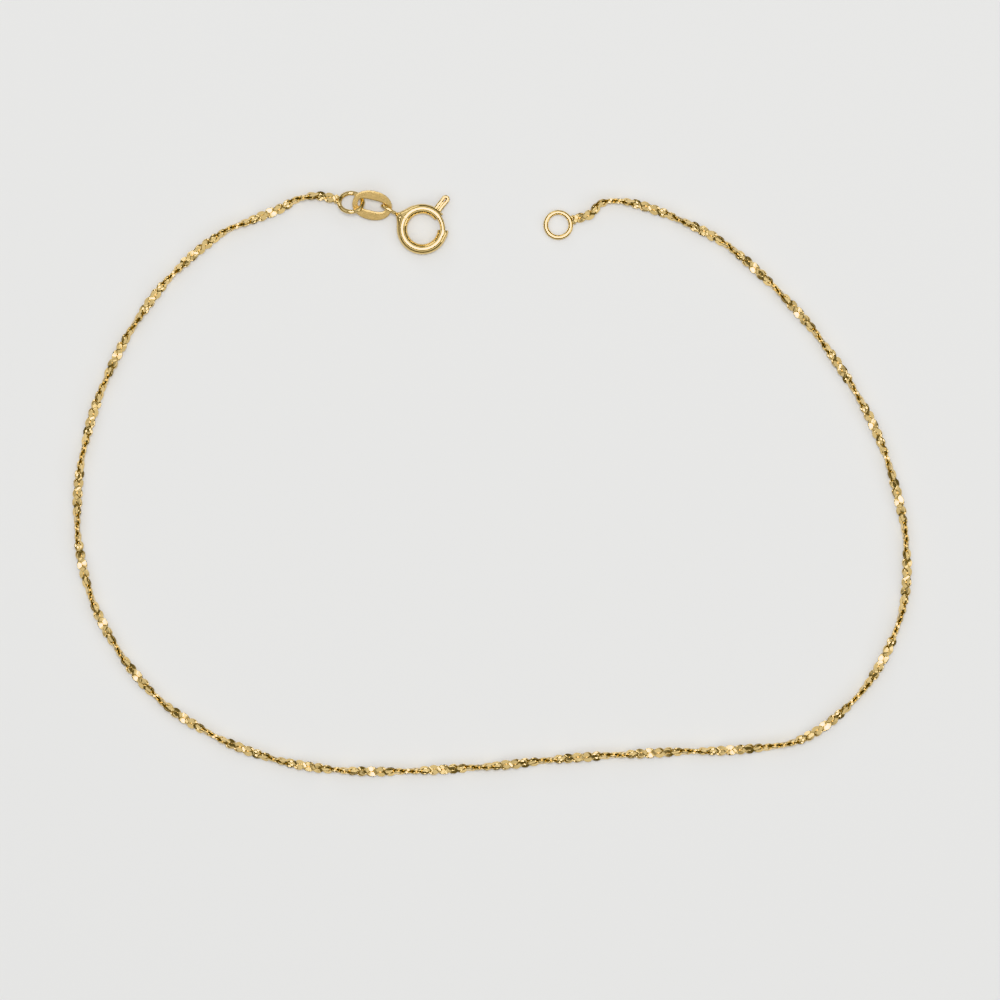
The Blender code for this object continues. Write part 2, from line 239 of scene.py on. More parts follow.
# Lip at the mouth that takes the bolt's tip: height, where it starts and over how many degrees it rises
LIP_HEIGHT = 0.00006
LIP_START = 338.0
LIP_RISE = 8.0
# Seam along the tube: depth, place round the tube and width, then its run and fades along the ring
SEAM_DEPTH = 0.000035
SEAM_PLACE = 57.0
SEAM_WIDTH = 4.0
SEAM_START = 146.0
SEAM_END = 196.0
SEAM_FADES = (6.0, 10.0)
# Body's skin: degrees between its rings, the same near the tail, and how near that is
BODY_STEP = 3.0
TAIL_STEP = 0.7
TAIL_NEAR = 14.0
STEP_TOLERANCE = 0.01
# Corners of each ring, and those added for the seam
BODY_SIDES = 32
SEAM_CORNERS = (49.0, 53.0, 57.0, 61.0, 65.0)
# Steps along a bolt, a bore or a slot, and degrees by which the bores run on past the gate's ends
ARC_STEPS = 40
BORE_OVERRUN = 8.0
EAR_WIRE = 0.00032
EAR_REACH = 0.00140
EAR_SINK = 0.00009
EAR_HEIGHT = 0.00092
EAR_ROUNDNESS = 2.6
EAR_STEPS = 56
EAR_SIDES = 20

# Bolt and lever
BOLT_WIRE = 0.00048
BOLT_START = -12.0
BOLT_END = 66.0
BOLT_TRAVEL = 47.0
LEVER_ANGLE = 52.0
LEVER_WIDTH = 0.00078
LEVER_THICKNESS = 0.00036
LEVER_REACH = 0.00156
LEVER_EYE_LENGTH = 0.00040
LEVER_EYE_WIDTH = 0.00012
LEVER_CLEARANCE = 0.00006
# Half the gap between the lever's two legs, how far before the eye they start to part, and over what length
LEVER_SEAM = 0.000004
LEVER_PARTING_LEAD = 0.00006
LEVER_PARTING_LENGTH = 0.00014
LEVER_STEPS = 18
LEVER_TIP_STEPS = 12
LEVER_SIDES = 20
# Solder between the legs: half its width and half its height
FILLER_SIZE = (0.00012, 0.00014)
FILLER_SIDES = 16

# Lights: name, place, size and brightness
LIGHTS = (
    ("overhead", (0.0, 0.08, 0.80), (0.28, 0.28), 15.0),
    ("side", (0.60, -0.20, 0.30), (0.30, 0.14), 3.0),
    ("back", (-0.30, 0.60, 0.25), (0.40, 0.14), 2.5),
)

# Room: brightness at heights from the horizon (0) to straight above (1)
ROOM = ((0.00, 0.12), (0.46, 0.15), (0.58, 0.80), (0.87, 0.76), (0.92, 0.26), (1.00, 0.26))

# Gold: colour of the metal, of the painted shade in its recesses, and of the brushed link
GOLD = (0.92, 0.69, 0.32)
RECESS_SHADE_COLOUR = (0.42, 0.31, 0.15)
SATIN_GOLD = (0.88, 0.63, 0.27)

# Finishes: grain is in waves per metre, and brushed says how much longer than wide the grain is
FINISHES = {
    "chain_gold": {"colour": GOLD, "roughness": 0.17, "grain": 3000.0, "bump": 0.03},
    "polished_gold": {"colour": GOLD, "roughness": 0.08, "grain": 1500.0, "bump": 0.08},
    "satin_gold": {
        "colour": SATIN_GOLD,
        "roughness": 0.28,
        "grain": 1200.0,
        "bump": 0.5,
        "brushed": 12.0,
        "bearing_of_lines": OVAL_TURN[2],
    },
}
# Brightness of the darkest and the lightest links
LINK_TONES = (0.86, 1.06)
# Noise of the polish: detail and roughness, part of it that is used, and the depth of its relief
NOISE_DETAIL = 4.0
NOISE_ROUGHNESS = 0.6
NOISE_RANGE = (0.3, 0.7)
RELIEF_DEPTH = 0.00002
# Roughness that the noise gives, as a share of the finish's own
POLISH_RANGE = (0.75, 1.35)


def node(tree, kind, **values):
    """A shader node with some of its sockets or properties set by name."""
    made = tree.nodes.new(kind)
    for name, value in values.items():
        if name in made.inputs.keys():
            made.inputs[name].default_value = value
        else:
            setattr(made, name, value)
    return made


def look_at(place, target):
    """Rotation that points an object's -Z from its place to a target."""
    return (Vector(target) - Vector(place)).to_track_quat("-Z", "Y").to_euler()


def add_camera():
    """Camera straight above the bracelet, framed as the photo."""
    middle = PHOTO_SIZE / 2.0
    aim_x = (middle - ORIGIN_PIXEL[0]) * PIXEL
    aim_y = (ORIGIN_PIXEL[1] - middle) * PIXEL
    data = bpy.data.cameras.new("camera")
    data.sensor_width = SENSOR
    data.lens = SENSOR * CAMERA_DISTANCE / (PHOTO_SIZE * PIXEL)
    data.clip_start, data.clip_end = CAMERA_CLIP
    camera = bpy.data.objects.new("camera", data)
    camera.location = (aim_x, aim_y, CAMERA_DISTANCE + CHAIN_WIDTH / 2.0)
    bpy.context.scene.collection.objects.link(camera)
    bpy.context.scene.camera = camera


def add_light(name, place, size, radiance):
    """Soft square light of a given brightness that faces the bracelet."""
    data = bpy.data.lights.new(name, "AREA")
    data.shape = "RECTANGLE"
    data.size, data.size_y = size
    data.energy = radiance * math.pi * size[0] * size[1]
    light = bpy.data.objects.new(name, data)
    light.location = place
    light.rotation_euler = look_at(place, (0.0, 0.0, 0.0))
    bpy.context.scene.collection.objects.link(light)


def add_world():
    """White studio whose brightness changes with height."""
    world = bpy.data.worlds.new("studio")
    world.use_nodes = True
    tree = world.node_tree
    tree.nodes.clear()
    place = node(tree, "ShaderNodeTexCoord")
    split = node(tree, "ShaderNodeSeparateXYZ")
    ramp = node(tree, "ShaderNodeValToRGB")
    points = ramp.color_ramp.elements
    for height, _ in ROOM[1:-1]:
        points.new(height)
    for point, (height, level) in zip(points, ROOM):
        point.position = height
        point.color = (level, level, level, 1.0)
    shade = node(tree, "ShaderNodeBackground", Strength=1.0)
    out = node(tree, "ShaderNodeOutputWorld")
    tree.links.new(place.outputs["Generated"], split.inputs[0])
    tree.links.new(split.outputs["Z"], ramp.inputs[0])
    tree.links.new(ramp.outputs[0], shade.inputs["Color"])
    tree.links.new(shade.outputs[0], out.inputs[0])
    bpy.context.scene.world = world


def add_stage():
    """Pale floor, lights and world."""
    shape = bmesh.new()
    bmesh.ops.create_grid(shape, x_segments=1, y_segments=1, size=FLOOR_REACH)
    mesh = bpy.data.meshes.new("floor")
    shape.to_mesh(mesh)
    shape.free()
    floor = bpy.data.objects.new("floor", mesh)
    bpy.context.scene.collection.objects.link(floor)
    material = bpy.data.materials.new("floor")
    material.use_nodes = True
    shader = material.node_tree.nodes["Principled BSDF"]
    shader.inputs["Base Color"].default_value = FLOOR_COLOUR
    shader.inputs["Roughness"].default_value = FLOOR_ROUGHNESS
    mesh.materials.append(material)
    add_world()
    for name, place, size, radiance in LIGHTS:
        add_light(name, place, size, radiance)


def gold(name, colour, roughness, grain, bump, brushed=0.0, bearing_of_lines=0.0):
    """Gold with painted shade darkening its recesses, and fine uneven polish.

    The mesh may carry two numbers for each point: one from 0 outside to 1 in the recesses, which sets how
    much painted shade darkens the colour there, and shade, a number from 0 to 1 that sets one link's own
    tone.
    """
    material = bpy.data.materials.new(name)
    material.use_nodes = True
    tree = material.node_tree
    link = tree.links.new
    shader = tree.nodes["Principled BSDF"]
    shader.inputs["Metallic"].default_value = 1.0

    place = node(tree, "ShaderNodeTexCoord")
    stretch = node(tree, "ShaderNodeMapping", vector_type="TEXTURE")
    stretch.inputs["Rotation"].default_value = (0.0, 0.0, math.radians(bearing_of_lines))
    stretch.inputs["Scale"].default_value = (1.0, 1.0 / (1.0 + brushed), 1.0 / (1.0 + brushed))
    link(place.outputs["Object"], stretch.inputs["Vector"])
    cloud = node(tree, "ShaderNodeTexNoise", Scale=grain, Detail=NOISE_DETAIL, Roughness=NOISE_ROUGHNESS)
    link(stretch.outputs["Vector"], cloud.inputs["Vector"])

    shade = node(tree, "ShaderNodeAttribute", attribute_name="shade")
    recess_shade = node(tree, "ShaderNodeAttribute", attribute_name="recess_shade")
    tone = node(tree, "ShaderNodeMix", data_type="RGBA")
    for socket, level in zip(("A", "B"), LINK_TONES):
        tone.inputs[socket].default_value = (*[channel * level for channel in colour], 1.0)
    link(shade.outputs["Fac"], tone.inputs["Factor"])
    # Painted shade: the colour is mixed towards a darker gold in the recesses, by the mask that the mesh
    # carries
    depth = node(tree, "ShaderNodeMix", data_type="RGBA")
    depth.inputs["B"].default_value = (*RECESS_SHADE_COLOUR, 1.0)
    link(recess_shade.outputs["Fac"], depth.inputs["Factor"])
    link(tone.outputs["Result"], depth.inputs["A"])
    link(depth.outputs["Result"], shader.inputs["Base Color"])

    polish = node(tree, "ShaderNodeMapRange")
    for end, noise, share in zip(("Min", "Max"), NOISE_RANGE, POLISH_RANGE):
        polish.inputs["From " + end].default_value = noise
        polish.inputs["To " + end].default_value = roughness * share
    link(cloud.outputs["Fac"], polish.inputs["Value"])
    link(polish.outputs["Result"], shader.inputs["Roughness"])

    relief = node(tree, "ShaderNodeBump", Strength=bump, Distance=RELIEF_DEPTH)
    link(cloud.outputs["Fac"], relief.inputs["Height"])
    link(relief.outputs["Normal"], shader.inputs["Normal"])
    return material


def add_object(name, mesh, material, sharp=SHARP_ANGLE):
    """Names a mesh as an object with one material and smooth round faces."""
    mesh.shade_smooth()
    mesh.set_sharp_from_angle(angle=math.radians(sharp))
    piece = bpy.data.objects.new(name, mesh)
    bpy.context.scene.collection.objects.link(piece)
    mesh.materials.append(material)
    return piece


def smooth_route(points, step):
    """Points a step apart on a smooth curve through the route's points."""
    knots = [Vector((x, y, 0.0)) for x, y in points]
    knots = [2.0 * knots[0] - knots[1]] + knots + [2.0 * knots[-1] - knots[-2]]
    fine = []
    for before, start, end, after in zip(knots, knots[1:], knots[2:], knots[3:]):
        gap_before = (start - before).length ** 0.5
        gap = (end - start).length ** 0.5
        gap_after = (after - end).length ** 0.5
        slope_in = (start - before) / gap_before - (end - before) / (gap_before + gap)
        slope_in = (slope_in + (end - start) / gap) * gap
        slope_out = (end - start) / gap - (after - start) / (gap + gap_after)
        slope_out = (slope_out + (after - end) / gap_after) * gap
        for i in range(ROUTE_FINENESS):
            t = i / ROUTE_FINENESS
            rise = t * t * (3.0 - 2.0 * t)
            point = start + rise * (end - start)
            point += t * (1.0 - t) * ((1.0 - t) * slope_in - t * slope_out)
            fine.append(point)
    fine.append(knots[-2])
    lengths = [0.0]
    for near, far in zip(fine, fine[1:]):
        lengths.append(lengths[-1] + (far - near).length)
    count = max(2, round(lengths[-1] / step))
    route = []
    place = 0
    for i in range(count + 1):
        wanted = lengths[-1] * i / count
        while place < len(fine) - 2 and lengths[place + 1] < wanted:
            place += 1
        part = (wanted - lengths[place]) / (lengths[place + 1] - lengths[place])
        route.append(fine[place].lerp(fine[place + 1], part))
    return route


def ease(share):
    """Smooth step from 0 to 1."""
    share = np.clip(share, 0.0, 1.0)
    return share * share * (3.0 - 2.0 * share)


class Chain:
    """The chain's middle line, height and twist at any length from its start."""

    def __init__(self):
        route = np.array(smooth_route(CHAIN_ROUTE, ROUTE_STEP))
        steps = np.linalg.norm(np.diff(route, axis=0), axis=1)
        self.run = np.concatenate([[0.0], np.cumsum(steps)])
        self.length = self.run[-1]
        self.route = route
        tangent = np.gradient(route, self.run, axis=0)
        self.tangent = tangent / np.linalg.norm(tangent, axis=1)[:, None]
        self.twist_lengths = [row["length"] for row in TWIST]
        self.twist_turns = [row["half_turns"] for row in TWIST]

    def twist(self, along):
        """Twist in radians, softened between the table's rows and quicker through the flat places."""
        total = 0.0
        for shift in TWIST_SHIFTS:
            moved = along + shift * TWIST_SPREAD
            total = total + np.interp(moved, self.twist_lengths, self.twist_turns)
        turns = total / len(TWIST_SHIFTS)
        return turns * math.pi + TWIST_HASTE * np.sin(2.0 * math.pi * turns)

    def place(self, along):
        """World places and directions of the middle line."""
        held = np.clip(along, 0.0, self.length)
        tangent = np.stack([np.interp(held, self.run, self.tangent[:, k]) for k in range(3)], axis=-1)
        tangent /= np.linalg.norm(tangent, axis=-1)[..., None]
        point = np.stack([np.interp(held, self.run, self.route[:, k]) for k in range(3)], axis=-1)
        point += (along - held)[..., None] * tangent
        rest = CHAIN_REST_HEIGHT
        rise = (CHAIN_START_HEIGHT - rest) * (1.0 - ease(held / CHAIN_RISE_LENGTH))
        left = (self.length - held) / CHAIN_FALL_LENGTH
        fall = (CHAIN_END_HEIGHT - rest) * (1.0 - ease(left))
        point[..., 2] = rest + rise + fall
        return point, tangent


def link_loop():
    """One link's middle line from its first column: a slanted S in front, and its mirror behind."""
    half = LINK_PITCH / 2.0 - LOBE_SHIFT
    bow = (CHAIN_WIDTH - STRAP_WIDTH) / 2.0
    points = []
    steps = LINK_STEPS // 4
    for i in range(2 * steps + 1):
        reach = i / steps - 1.0
        turn = math.pi * min(abs(reach), 1.0 - abs(reach))
        if abs(reach) < 0.5:
            x = reach * (LINK_PITCH - 2.0 * LOBE_SHIFT)
        else:
            hooked = (half + HOOK_TUCK) * math.cos(turn) ** (2.0 / LOBE_ROUNDNESS)
            x = math.copysign(LINK_PITCH / 2.0 - LOBE_SHIFT + hooked, reach)
        y = math.copysign(bow * math.sin(turn) ** (2.0 / LOBE_ROUNDNESS), reach)
        z = LAYER_HEIGHT * (1.0 - abs(reach) ** LAYER_FLATNESS) + LOBE_TILT * (half - abs(x))
        points.append((LINK_PITCH / 2.0 + x, y, z))
    # The rear is the front turned over about the chain's axis, run back from the far hook
    rear = [(x, -y, -z) for x, y, z in reversed(points[1:-1])]
    return np.array(points + rear)


def strap_skin():
    """Corners of one link's skin: a flat strap, widest at its lobes."""
    loop = link_loop()
    ahead = np.roll(loop, -1, axis=0) - np.roll(loop, 1, axis=0)
    ahead /= np.linalg.norm(ahead, axis=1)[:, None]
    up = np.array([0.0, 0.0, 1.0]) - ahead * ahead[:, 2:3]
    up /= np.linalg.norm(up, axis=1)[:, None]
    across = np.cross(up, ahead)
    half_across, half_up = STRAP_WIDTH / 2.0, STRAP_THICKNESS / 2.0
    cut = STRAP_CHAMFER
    quarter = [(half_across - cut, half_up), (half_across, half_up - cut)]
    quarter += [(x, -y) for x, y in reversed(quarter)]
    outline = np.array(quarter + [(-x, -y) for x, y in quarter])
    place = np.linspace(0.0, 2.0, len(loop), endpoint=False)
    hooked = np.cos(math.pi * place) ** 2
    between = 0.5 + 0.5 * np.cos(4.0 * math.pi * place)
    narrow = 1.0 - between * (HOOK_TAPER * hooked + MIDDLE_TAPER * (1.0 - hooked))
    thin = 1.0 - HOOK_TAPER * hooked ** HOOK_SHARPNESS
    offset = (narrow[:, None] * outline[None, :, 0])[..., None] * across[:, None, :]
    offset += (thin[:, None] * outline[None, :, 1])[..., None] * up[:, None, :]
    return loop[:, None, :] + offset


def recess_shade_mask(skin):
    """Mask of painted shade: how far each corner of a link lies inside the chain, from 0 on its outer faces
    to 1.
    """
    outside = LAYER_HEIGHT + STRAP_THICKNESS / 2.0
    depth = np.clip((outside - np.abs(skin[..., 2])) / outside, 0.0, 1.0)
    edge = np.clip(np.abs(skin[..., 1]) / (CHAIN_WIDTH / 2.0), 0.0, 1.0)
    return np.clip(RECESS_SHADE_GAIN * depth - RECESS_SHADE_EDGE * edge ** 2, 0.0, 1.0)


def build_chain_links(material):
    """All links of the chain in one joined mesh. The lobes of one column lie in one plane."""
    chain = Chain()
    count = round(chain.length / LINK_PITCH)
    pitch = chain.length / count
    skin = strap_skin()
    skin[..., 0] *= pitch / LINK_PITCH
    # Mask of the painted shade that darkens the links' recesses
    recess_shade = recess_shade_mask(skin)

    rng = random.Random(COLUMN_SEED)
    columns = np.arange(-1, count + 1)
    rolls = np.array([math.radians(rng.gauss(0.0, COLUMN_ROLL)) for _ in columns])
    leans = np.array([math.radians(rng.gauss(0.0, COLUMN_LEAN)) for _ in columns])
    tones = np.array([rng.random() for _ in columns])
    turns = chain.twist((columns + 0.5) * pitch) + rolls

    rings, sides = skin.shape[:2]
    corners, faces, shades = [], [], []
    share = ease((skin[..., 0] / pitch - 0.5) / COLUMN_TURN + 0.5)
    for k in range(-1, count):
        near, far = k + 1, k + 2
        along = (k + 0.5) * pitch + skin[..., 0]
        angle = turns[near] + (turns[far] - turns[near]) * share
        rise = np.tan(leans[near]) * skin[..., 0] * (1.0 - share)
        rise += np.tan(leans[far]) * (skin[..., 0] - pitch) * share
        squeezed = np.where(along < 0.0, along * END_SQUEEZE, along)
        past = squeezed - chain.length
        squeezed = np.where(past > 0.0, chain.length + past * END_SQUEEZE, squeezed)
        point, tangent = chain.place(squeezed)
        side = np.stack([-tangent[..., 1], tangent[..., 0], np.zeros_like(tangent[..., 0])], axis=-1)
        y = skin[..., 1]
        z = skin[..., 2] + rise
        world = point + (y * np.cos(angle) - z * np.sin(angle))[..., None] * side
        world[..., 2] = np.maximum(0.0, world[..., 2] + y * np.sin(angle) + z * np.cos(angle))
        corners.append(world.reshape(-1, 3))
        faces.append(loop_quads(rings, sides) + len(faces) * rings * sides)
        shades.append((tones[near] + (tones[far] - tones[near]) * share).reshape(-1))
    mesh = bpy.data.meshes.new("chain_links")
    mesh.from_pydata(np.concatenate(corners).tolist(), [], np.concatenate(faces).tolist())
    numbers = {"recess_shade": np.tile(recess_shade.reshape(-1), len(faces)), "shade": np.concatenate(shades)}
    for name, values in numbers.items():
        layer = mesh.attributes.new(name, "FLOAT", "POINT")
        layer.data.foreach_set("value", values.astype(np.float32))
    point_outwards(mesh)
    piece = add_object("chain_links", mesh, material)
    settle(piece, "bracelet", "chain")


def loop_quads(rings, sides):
    """Faces between the rings of a closed sweep."""
    grid = np.arange(rings * sides).reshape(rings, sides)
    ahead = np.roll(grid, -1, axis=0)
    quads = np.stack([grid, ahead, np.roll(ahead, -1, axis=1), np.roll(grid, -1, axis=1)], axis=-1)
    return quads.reshape(-1, 4)


def point_outwards(mesh):
    """Turns all faces of a mesh outwards."""
    shape = bmesh.new()
    shape.from_mesh(mesh)
    bmesh.ops.recalc_face_normals(shape, faces=shape.faces)
    shape.to_mesh(mesh)
    shape.free()


def settle(piece, body, cad_node):
    """Fixes a piece's turn in its mesh, and says what it rides on and stands for."""
    piece.data.transform(piece.matrix_basis.to_3x3().to_4x4())
    piece.rotation_euler = (0.0, 0.0, 0.0)
    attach(piece, body)
    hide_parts(cad_node)


def bearing(angle):
    """Level unit vector at an angle from +X."""
    turn = math.radians(angle)
    return Vector((math.cos(turn), math.sin(turn), 0.0))


def sweep(name, rings, closed):
    """Mesh through rings of corners, with flat caps where it is open."""
    rings = np.array(rings, dtype=float)
    count, sides = rings.shape[:2]
    quads = loop_quads(count, sides)
    faces = quads.tolist() if closed else quads[: (count - 1) * sides].tolist()
    if not closed:
        faces.append(list(range(sides)))
        faces.append(list(range((count - 1) * sides, count * sides)))
    mesh = bpy.data.meshes.new(name)
    mesh.from_pydata(rings.reshape(-1, 3).tolist(), [], faces)
    point_outwards(mesh)
    return mesh


def wire_rings(path, normal, across, up, sides, closed):
    """Rings of an elliptic wire along a path in a plane; across and up are its half sizes."""
    rings = []
    last = len(path) - 1
    for i, point in enumerate(path):
        ahead = path[(i + 1) % len(path)] if closed or i < last else point
        behind = path[i - 1] if closed or i > 0 else point
        side = (ahead - behind).cross(normal).normalized()
        wide = across[i] if isinstance(across, (list, tuple)) else across
        ring = []
        for k in range(sides):
            turn = 2.0 * math.pi * k / sides
            ring.append(point + wide * math.cos(turn) * side + up * math.sin(turn) * normal)
        rings.append([tuple(corner) for corner in ring])
    return rings


def helper(mesh, location=(0.0, 0.0, 0.0), turn=0.0):
    """Object for a Boolean, placed and turned about Z."""
    piece = bpy.data.objects.new(mesh.name, mesh)
    piece.location = location
    piece.rotation_euler.z = math.radians(turn)
    bpy.context.scene.collection.objects.link(piece)
    return piece


def combine(piece, steps):
    """Applies Booleans to a piece in turn, and removes their helper objects."""
    for operation, other in steps:
        modifier = piece.modifiers.new(other.name, "BOOLEAN")
        modifier.operation = operation
        modifier.solver = "EXACT"
        modifier.object = other
    bpy.context.view_layer.update()
    graph = bpy.context.evaluated_depsgraph_get()
    made = bpy.data.meshes.new_from_object(piece.evaluated_get(graph))
    piece.modifiers.clear()
    old = piece.data
    piece.data = made
    made.name = piece.name
    bpy.data.meshes.remove(old)
    for _, other in steps:
        bpy.data.objects.remove(other, do_unlink=True)
    made.shade_smooth()
    made.set_sharp_from_angle(angle=math.radians(JOINED_SHARP_ANGLE))


def build_jump_ring(name, sizes, material):
    """Round ring of wire with the solder that holds it to the chain."""
    radius = (sizes["diameter"] - sizes["wire"]) / 2.0
    path = [radius * bearing(360.0 * i / RING_STEPS) for i in range(RING_STEPS)]
    half = sizes["wire"] / 2.0
    rings = wire_rings(path, UP, half, half, WIRE_SIDES, True)
    ring = add_object(name + "_wire", sweep(name + "_wire", rings, True), material)
    reach = sizes["diameter"] / 2.0 + SOLDER_REACH
    steps = []
    for side in (-1.0, 1.0):
        shape = bmesh.new()
        around, upward = SOLDER_SEGMENTS
        bmesh.ops.create_uvsphere(shape, u_segments=around, v_segments=upward, radius=0.5)
        bmesh.ops.scale(shape, vec=SOLDER_SIZE, verts=shape.verts)
        drop = bpy.data.meshes.new(name + "_solder")
        shape.to_mesh(drop)
        shape.free()
        angle = sizes["solder"] + side * SOLDER_SPREAD
        steps.append(("UNION", helper(drop, reach * bearing(angle), angle - side * SOLDER_SPLAY)))
    combine(ring, steps)
    ring.location = sizes["middle"]
    ring.rotation_euler.x = math.radians(sizes["lean"])
    settle(ring, "bracelet", name)


def round_loop(length, width, roundness, steps):
    """Closed outline as pairs, from an ellipse (2) towards a rectangle (more than 2)."""
    loop = []
    power = 2.0 / roundness
    for i in range(steps):
        turn = 2.0 * math.pi * i / steps
        across, along = math.cos(turn), math.sin(turn)
        x = math.copysign(abs(across) ** power, across) * length / 2.0
        y = math.copysign(abs(along) ** power, along) * width / 2.0
        loop.append((x, y))
    return loop


def build_oval_link(satin, polished):
    """Flat oval band with rounded edges, satin on its faces and polished inside its hole."""
    half = OVAL_THICKNESS / 2.0
    outer = (*OVAL_SIZE, OVAL_ROUNDNESS, 0.0)
    hole = (*OVAL_HOLE, OVAL_HOLE_ROUNDNESS, OVAL_HOLE_SHIFT)
    corner = []
    for k in range(OVAL_CORNER_STEPS + 1):
        turn = math.radians(90.0 * k / OVAL_CORNER_STEPS)
        corner.append((OVAL_EDGE * (1.0 - math.cos(turn)), OVAL_EDGE * (1.0 - math.sin(turn))))
    sections = [(outer, -2.0 * inset, half - drop) for inset, drop in corner]
    sections += [(outer, OVAL_FACE_ROWS[0], half), (hole, OVAL_FACE_ROWS[1], half)]
    inner = OVAL_INNER_EDGE / OVAL_EDGE
    sections += [(hole, 2.0 * inner * inset, half - drop) for inset, drop in reversed(corner)]
    sections += [(kind, growth, -height) for kind, growth, height in reversed(sections)]
    rings = []
    for (length, width, roundness, shift), growth, height in sections:
        outline = round_loop(length + growth, width + growth, roundness, OVAL_STEPS)
        rings.append([(x + shift, y, height) for x, y in outline])
    mesh = sweep("oval_link_band", rings, True)
    link = add_object("oval_link_band", mesh, satin, OVAL_SHARP_ANGLE)
    mesh.materials.append(polished)
    for face in mesh.polygons:
        face.material_index = 0 if abs(face.normal.z) > OVAL_SATIN_RISE else 1
    link.location = OVAL_MIDDLE
    link.rotation_mode = "ZYX"
    link.rotation_euler = [math.radians(angle) for angle in OVAL_TURN]
    settle(link, "bracelet", "oval_link")


def clasp_body_rings():
    """Rings of the clasp's tube, drawn out into its tail, with a seam along its outer side."""
    angles = [GATE_END]
    while angles[-1] < 360.0 + GATE_START - STEP_TOLERANCE:
        near_tail = abs(angles[-1] - TAIL_ANGLE) < TAIL_NEAR
        angles.append(min(360.0 + GATE_START, angles[-1] + (TAIL_STEP if near_tail else BODY_STEP)))
    turns = sorted([360.0 * k / BODY_SIDES for k in range(BODY_SIDES)] + list(SEAM_CORNERS))
    crease_depth, crease_width = TAIL_CREASE
    lips_height, lips_place, lips_width = TAIL_LIPS
    rings = []
    tube = TUBE_DIAMETER / 2.0
    for angle in angles:
        away = abs(angle - TAIL_ANGLE)
        drawn = math.exp(-((away / TAIL_SPREAD) ** TAIL_SHARPNESS))
        seam = float(ease((angle - SEAM_START) / SEAM_FADES[0]))
        seam *= 1.0 - float(ease((angle - SEAM_END) / SEAM_FADES[1]))
        lip = LIP_HEIGHT * float(ease((angle - LIP_START) / LIP_RISE))
        ring = []
        for turn in turns:
            cosine, sine = math.cos(math.radians(turn)), math.sin(math.radians(turn))
            outward = max(0.0, cosine)
            groove = SEAM_DEPTH * seam * math.exp(-(((turn - SEAM_PLACE) / SEAM_WIDTH) ** 2))
            pinch = crease_depth * math.exp(-((away / crease_width) ** 2))
            pinch -= lips_height * math.exp(-(((away - lips_place) / lips_width) ** 2))
            body = tube - groove + lip * outward
            across = CLASP_RADIUS + body * cosine + TAIL_REACH * drawn * outward ** TAIL_NARROWING
            power = 1.0 - TAIL_SQUARING * drawn * outward
            rise = body * abs(sine) ** power * (1.0 - TAIL_THINNING * drawn * outward)
            rise = max(0.0, rise - pinch * outward ** 0.5)
            ring.append(tuple(across * bearing(angle) + math.copysign(rise, sine) * UP))
        rings.append(ring)
    return rings


def sector(inner, outer, start, end, height):
    """Flat slice of a level disc between two radii and two angles."""
    rings = []
    for i in range(ARC_STEPS + 1):
        ray = bearing(start + (end - start) * i / ARC_STEPS)
        low, high = -height / 2.0 * UP, height / 2.0 * UP
        corners = (inner * ray + low, outer * ray + low, outer * ray + high, inner * ray + high)
        rings.append([tuple(corner) for corner in corners])
    return sweep("clasp_slot", rings, False)


def clasp_arc(name, diameter, start, end):
    """Round wire or bore along the clasp's middle line."""
    turns = [start + (end - start) * i / ARC_STEPS for i in range(ARC_STEPS + 1)]
    path = [CLASP_RADIUS * bearing(turn) for turn in turns]
    half = diameter / 2.0
    return sweep(name, wire_rings(path, UP, half, half, WIRE_SIDES, False), False)


def build_clasp_body(centre, material):
    """Hollow spring ring with its tail, its ear, its gate and the lever's slot."""
    body = add_object("clasp_body", sweep("clasp_body", clasp_body_rings(), False), material)
    ear_loop = round_loop(EAR_REACH + EAR_SINK, EAR_HEIGHT, EAR_ROUNDNESS, EAR_STEPS)
    path = [Vector((x, 0.0, z)) for x, z in ear_loop]
    half = EAR_WIRE / 2.0
    ear_rings = wire_rings(path, Vector((0.0, 1.0, 0.0)), half, half, EAR_SIDES, True)
    tail_tip = CLASP_RADIUS + TUBE_DIAMETER / 2.0 + TAIL_REACH
    ear_place = (tail_tip + (EAR_REACH - EAR_SINK) / 2.0) * bearing(TAIL_ANGLE)
    ear_place.z = (EAR_WIRE + EAR_HEIGHT - TUBE_DIAMETER) / 2.0
    # The lever has its clearance in the slot from halfway between the bore's middle and its wall
    wall = CLASP_RADIUS + TUBE_BORE / 4.0
    half_lever = math.degrees(math.asin((LEVER_WIDTH / 2.0 + LEVER_CLEARANCE) / wall))
    slot = sector(
        CLASP_RADIUS,
        CLASP_RADIUS + TUBE_DIAMETER,
        LEVER_ANGLE - half_lever,
        LEVER_ANGLE + BOLT_TRAVEL + half_lever,
        LEVER_THICKNESS + 2.0 * LEVER_CLEARANCE,
    )
    bolt_bore = clasp_arc("bolt_bore", TUBE_BORE, GATE_END - BORE_OVERRUN, TAIL_ANGLE - TAIL_PINCH)
    socket_end = 360.0 + GATE_START + BORE_OVERRUN
    socket_bore = clasp_arc("socket_bore", TUBE_BORE, TAIL_ANGLE + TAIL_PINCH, socket_end)
    combine(
        body,
        [
            ("UNION", helper(sweep("clasp_ear", ear_rings, True), ear_place, TAIL_ANGLE)),
            ("DIFFERENCE", helper(bolt_bore)),
            ("DIFFERENCE", helper(socket_bore)),
            ("DIFFERENCE", helper(slot)),
        ],
    )
    body.location = centre
    settle(body, "bracelet", "clasp_ring")


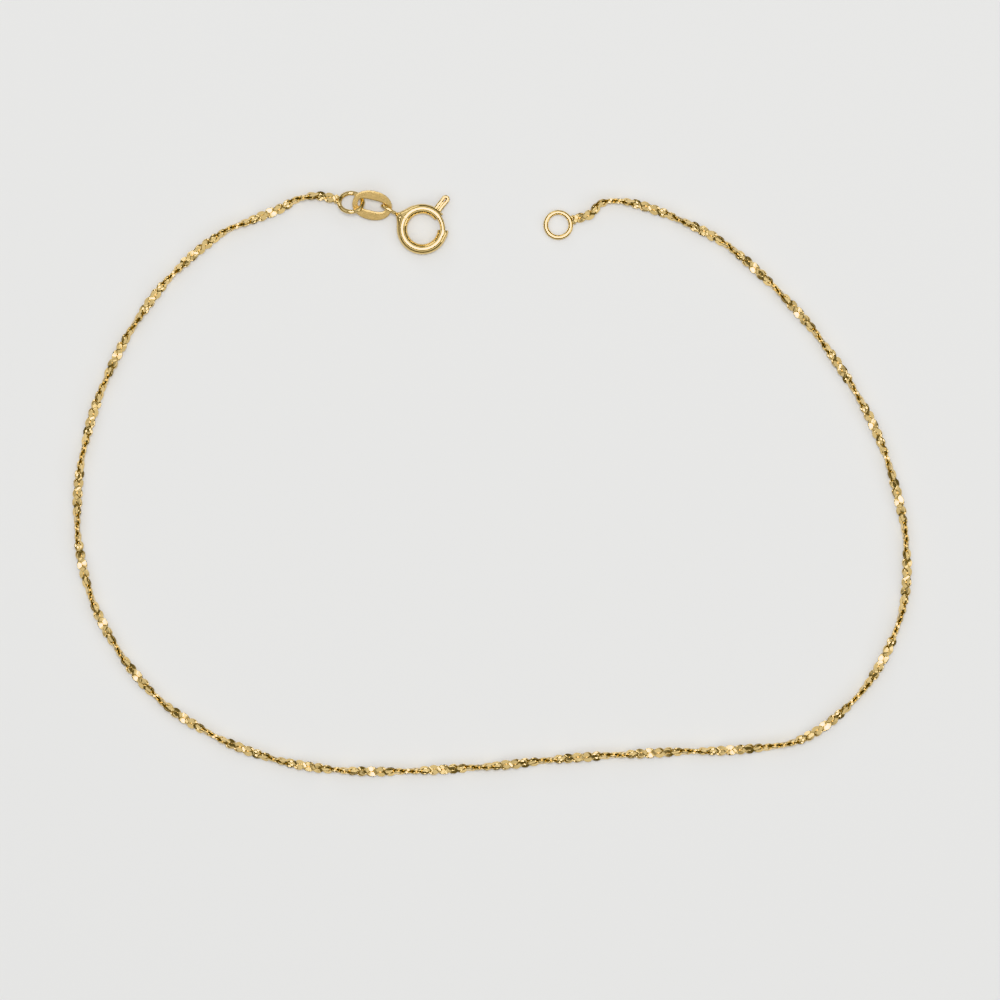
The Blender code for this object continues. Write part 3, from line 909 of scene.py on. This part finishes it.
def lever_rings():
    """Rings of the lever's bent wire: out along one side, round the tip and back."""
    tip = CLASP_RADIUS + TUBE_DIAMETER / 2.0 + LEVER_REACH
    bend = tip - LEVER_WIDTH / 2.0
    eye_start = bend - LEVER_EYE_LENGTH
    closed = (LEVER_WIDTH / 2.0 - LEVER_SEAM) / 2.0
    opened = (LEVER_WIDTH - LEVER_EYE_WIDTH) / 4.0
    path, widths = [], []
    for i in range(LEVER_STEPS + 1):
        x = CLASP_RADIUS + (bend - CLASP_RADIUS) * i / LEVER_STEPS
        share = float(ease((x - eye_start + LEVER_PARTING_LEAD) / LEVER_PARTING_LENGTH))
        half = closed + (opened - closed) * share
        path.append(Vector((x, half - LEVER_WIDTH / 2.0, 0.0)))
        widths.append(half)
    back = [(Vector((point.x, -point.y, 0.0)), half) for point, half in zip(path, widths)]
    reach = LEVER_WIDTH / 2.0 - opened
    for i in range(1, LEVER_TIP_STEPS):
        turn = math.radians(-90.0 + 180.0 * i / LEVER_TIP_STEPS)
        path.append(Vector((bend + reach * math.cos(turn), reach * math.sin(turn), 0.0)))
        widths.append(opened)
    for point, half in reversed(back):
        path.append(point)
        widths.append(half)
    rings = wire_rings(path, UP, widths, LEVER_THICKNESS / 2.0, LEVER_SIDES, False)
    return rings, eye_start


def build_clasp_bolt(centre, material):
    """Curved bolt with its lever of bent wire."""
    bolt = add_object("bolt_wire", clasp_arc("bolt_wire", BOLT_WIRE, BOLT_START, BOLT_END), material)
    rings, eye_start = lever_rings()
    path = [Vector((CLASP_RADIUS, 0.0, 0.0)), Vector((eye_start, 0.0, 0.0))]
    solder = wire_rings(path, UP, *FILLER_SIZE, FILLER_SIDES, False)
    combine(
        bolt,
        [
            ("UNION", helper(sweep("lever", rings, False), turn=LEVER_ANGLE)),
            ("UNION", helper(sweep("lever_solder", solder, False), turn=LEVER_ANGLE)),
        ],
    )
    bolt.location = centre
    settle(bolt, "bolt", "clasp_bolt")


def main():
    """Builds the stage and the bracelet's pieces."""
    bpy.context.scene.view_settings.view_transform = "Khronos PBR Neutral"
    add_camera()
    add_stage()
    build_chain_links(gold("chain_gold", **FINISHES["chain_gold"]))
    polished = gold("polished_gold", **FINISHES["polished_gold"])
    satin = gold("satin_gold", **FINISHES["satin_gold"])
    build_jump_ring("end_ring", END_RING, polished)
    build_jump_ring("catch_ring", CATCH_RING, polished)
    build_oval_link(satin, polished)
    clasp = frame["joints"][0]["pos_m"]
    build_clasp_body(clasp, polished)
    build_clasp_bolt(clasp, polished)


main()
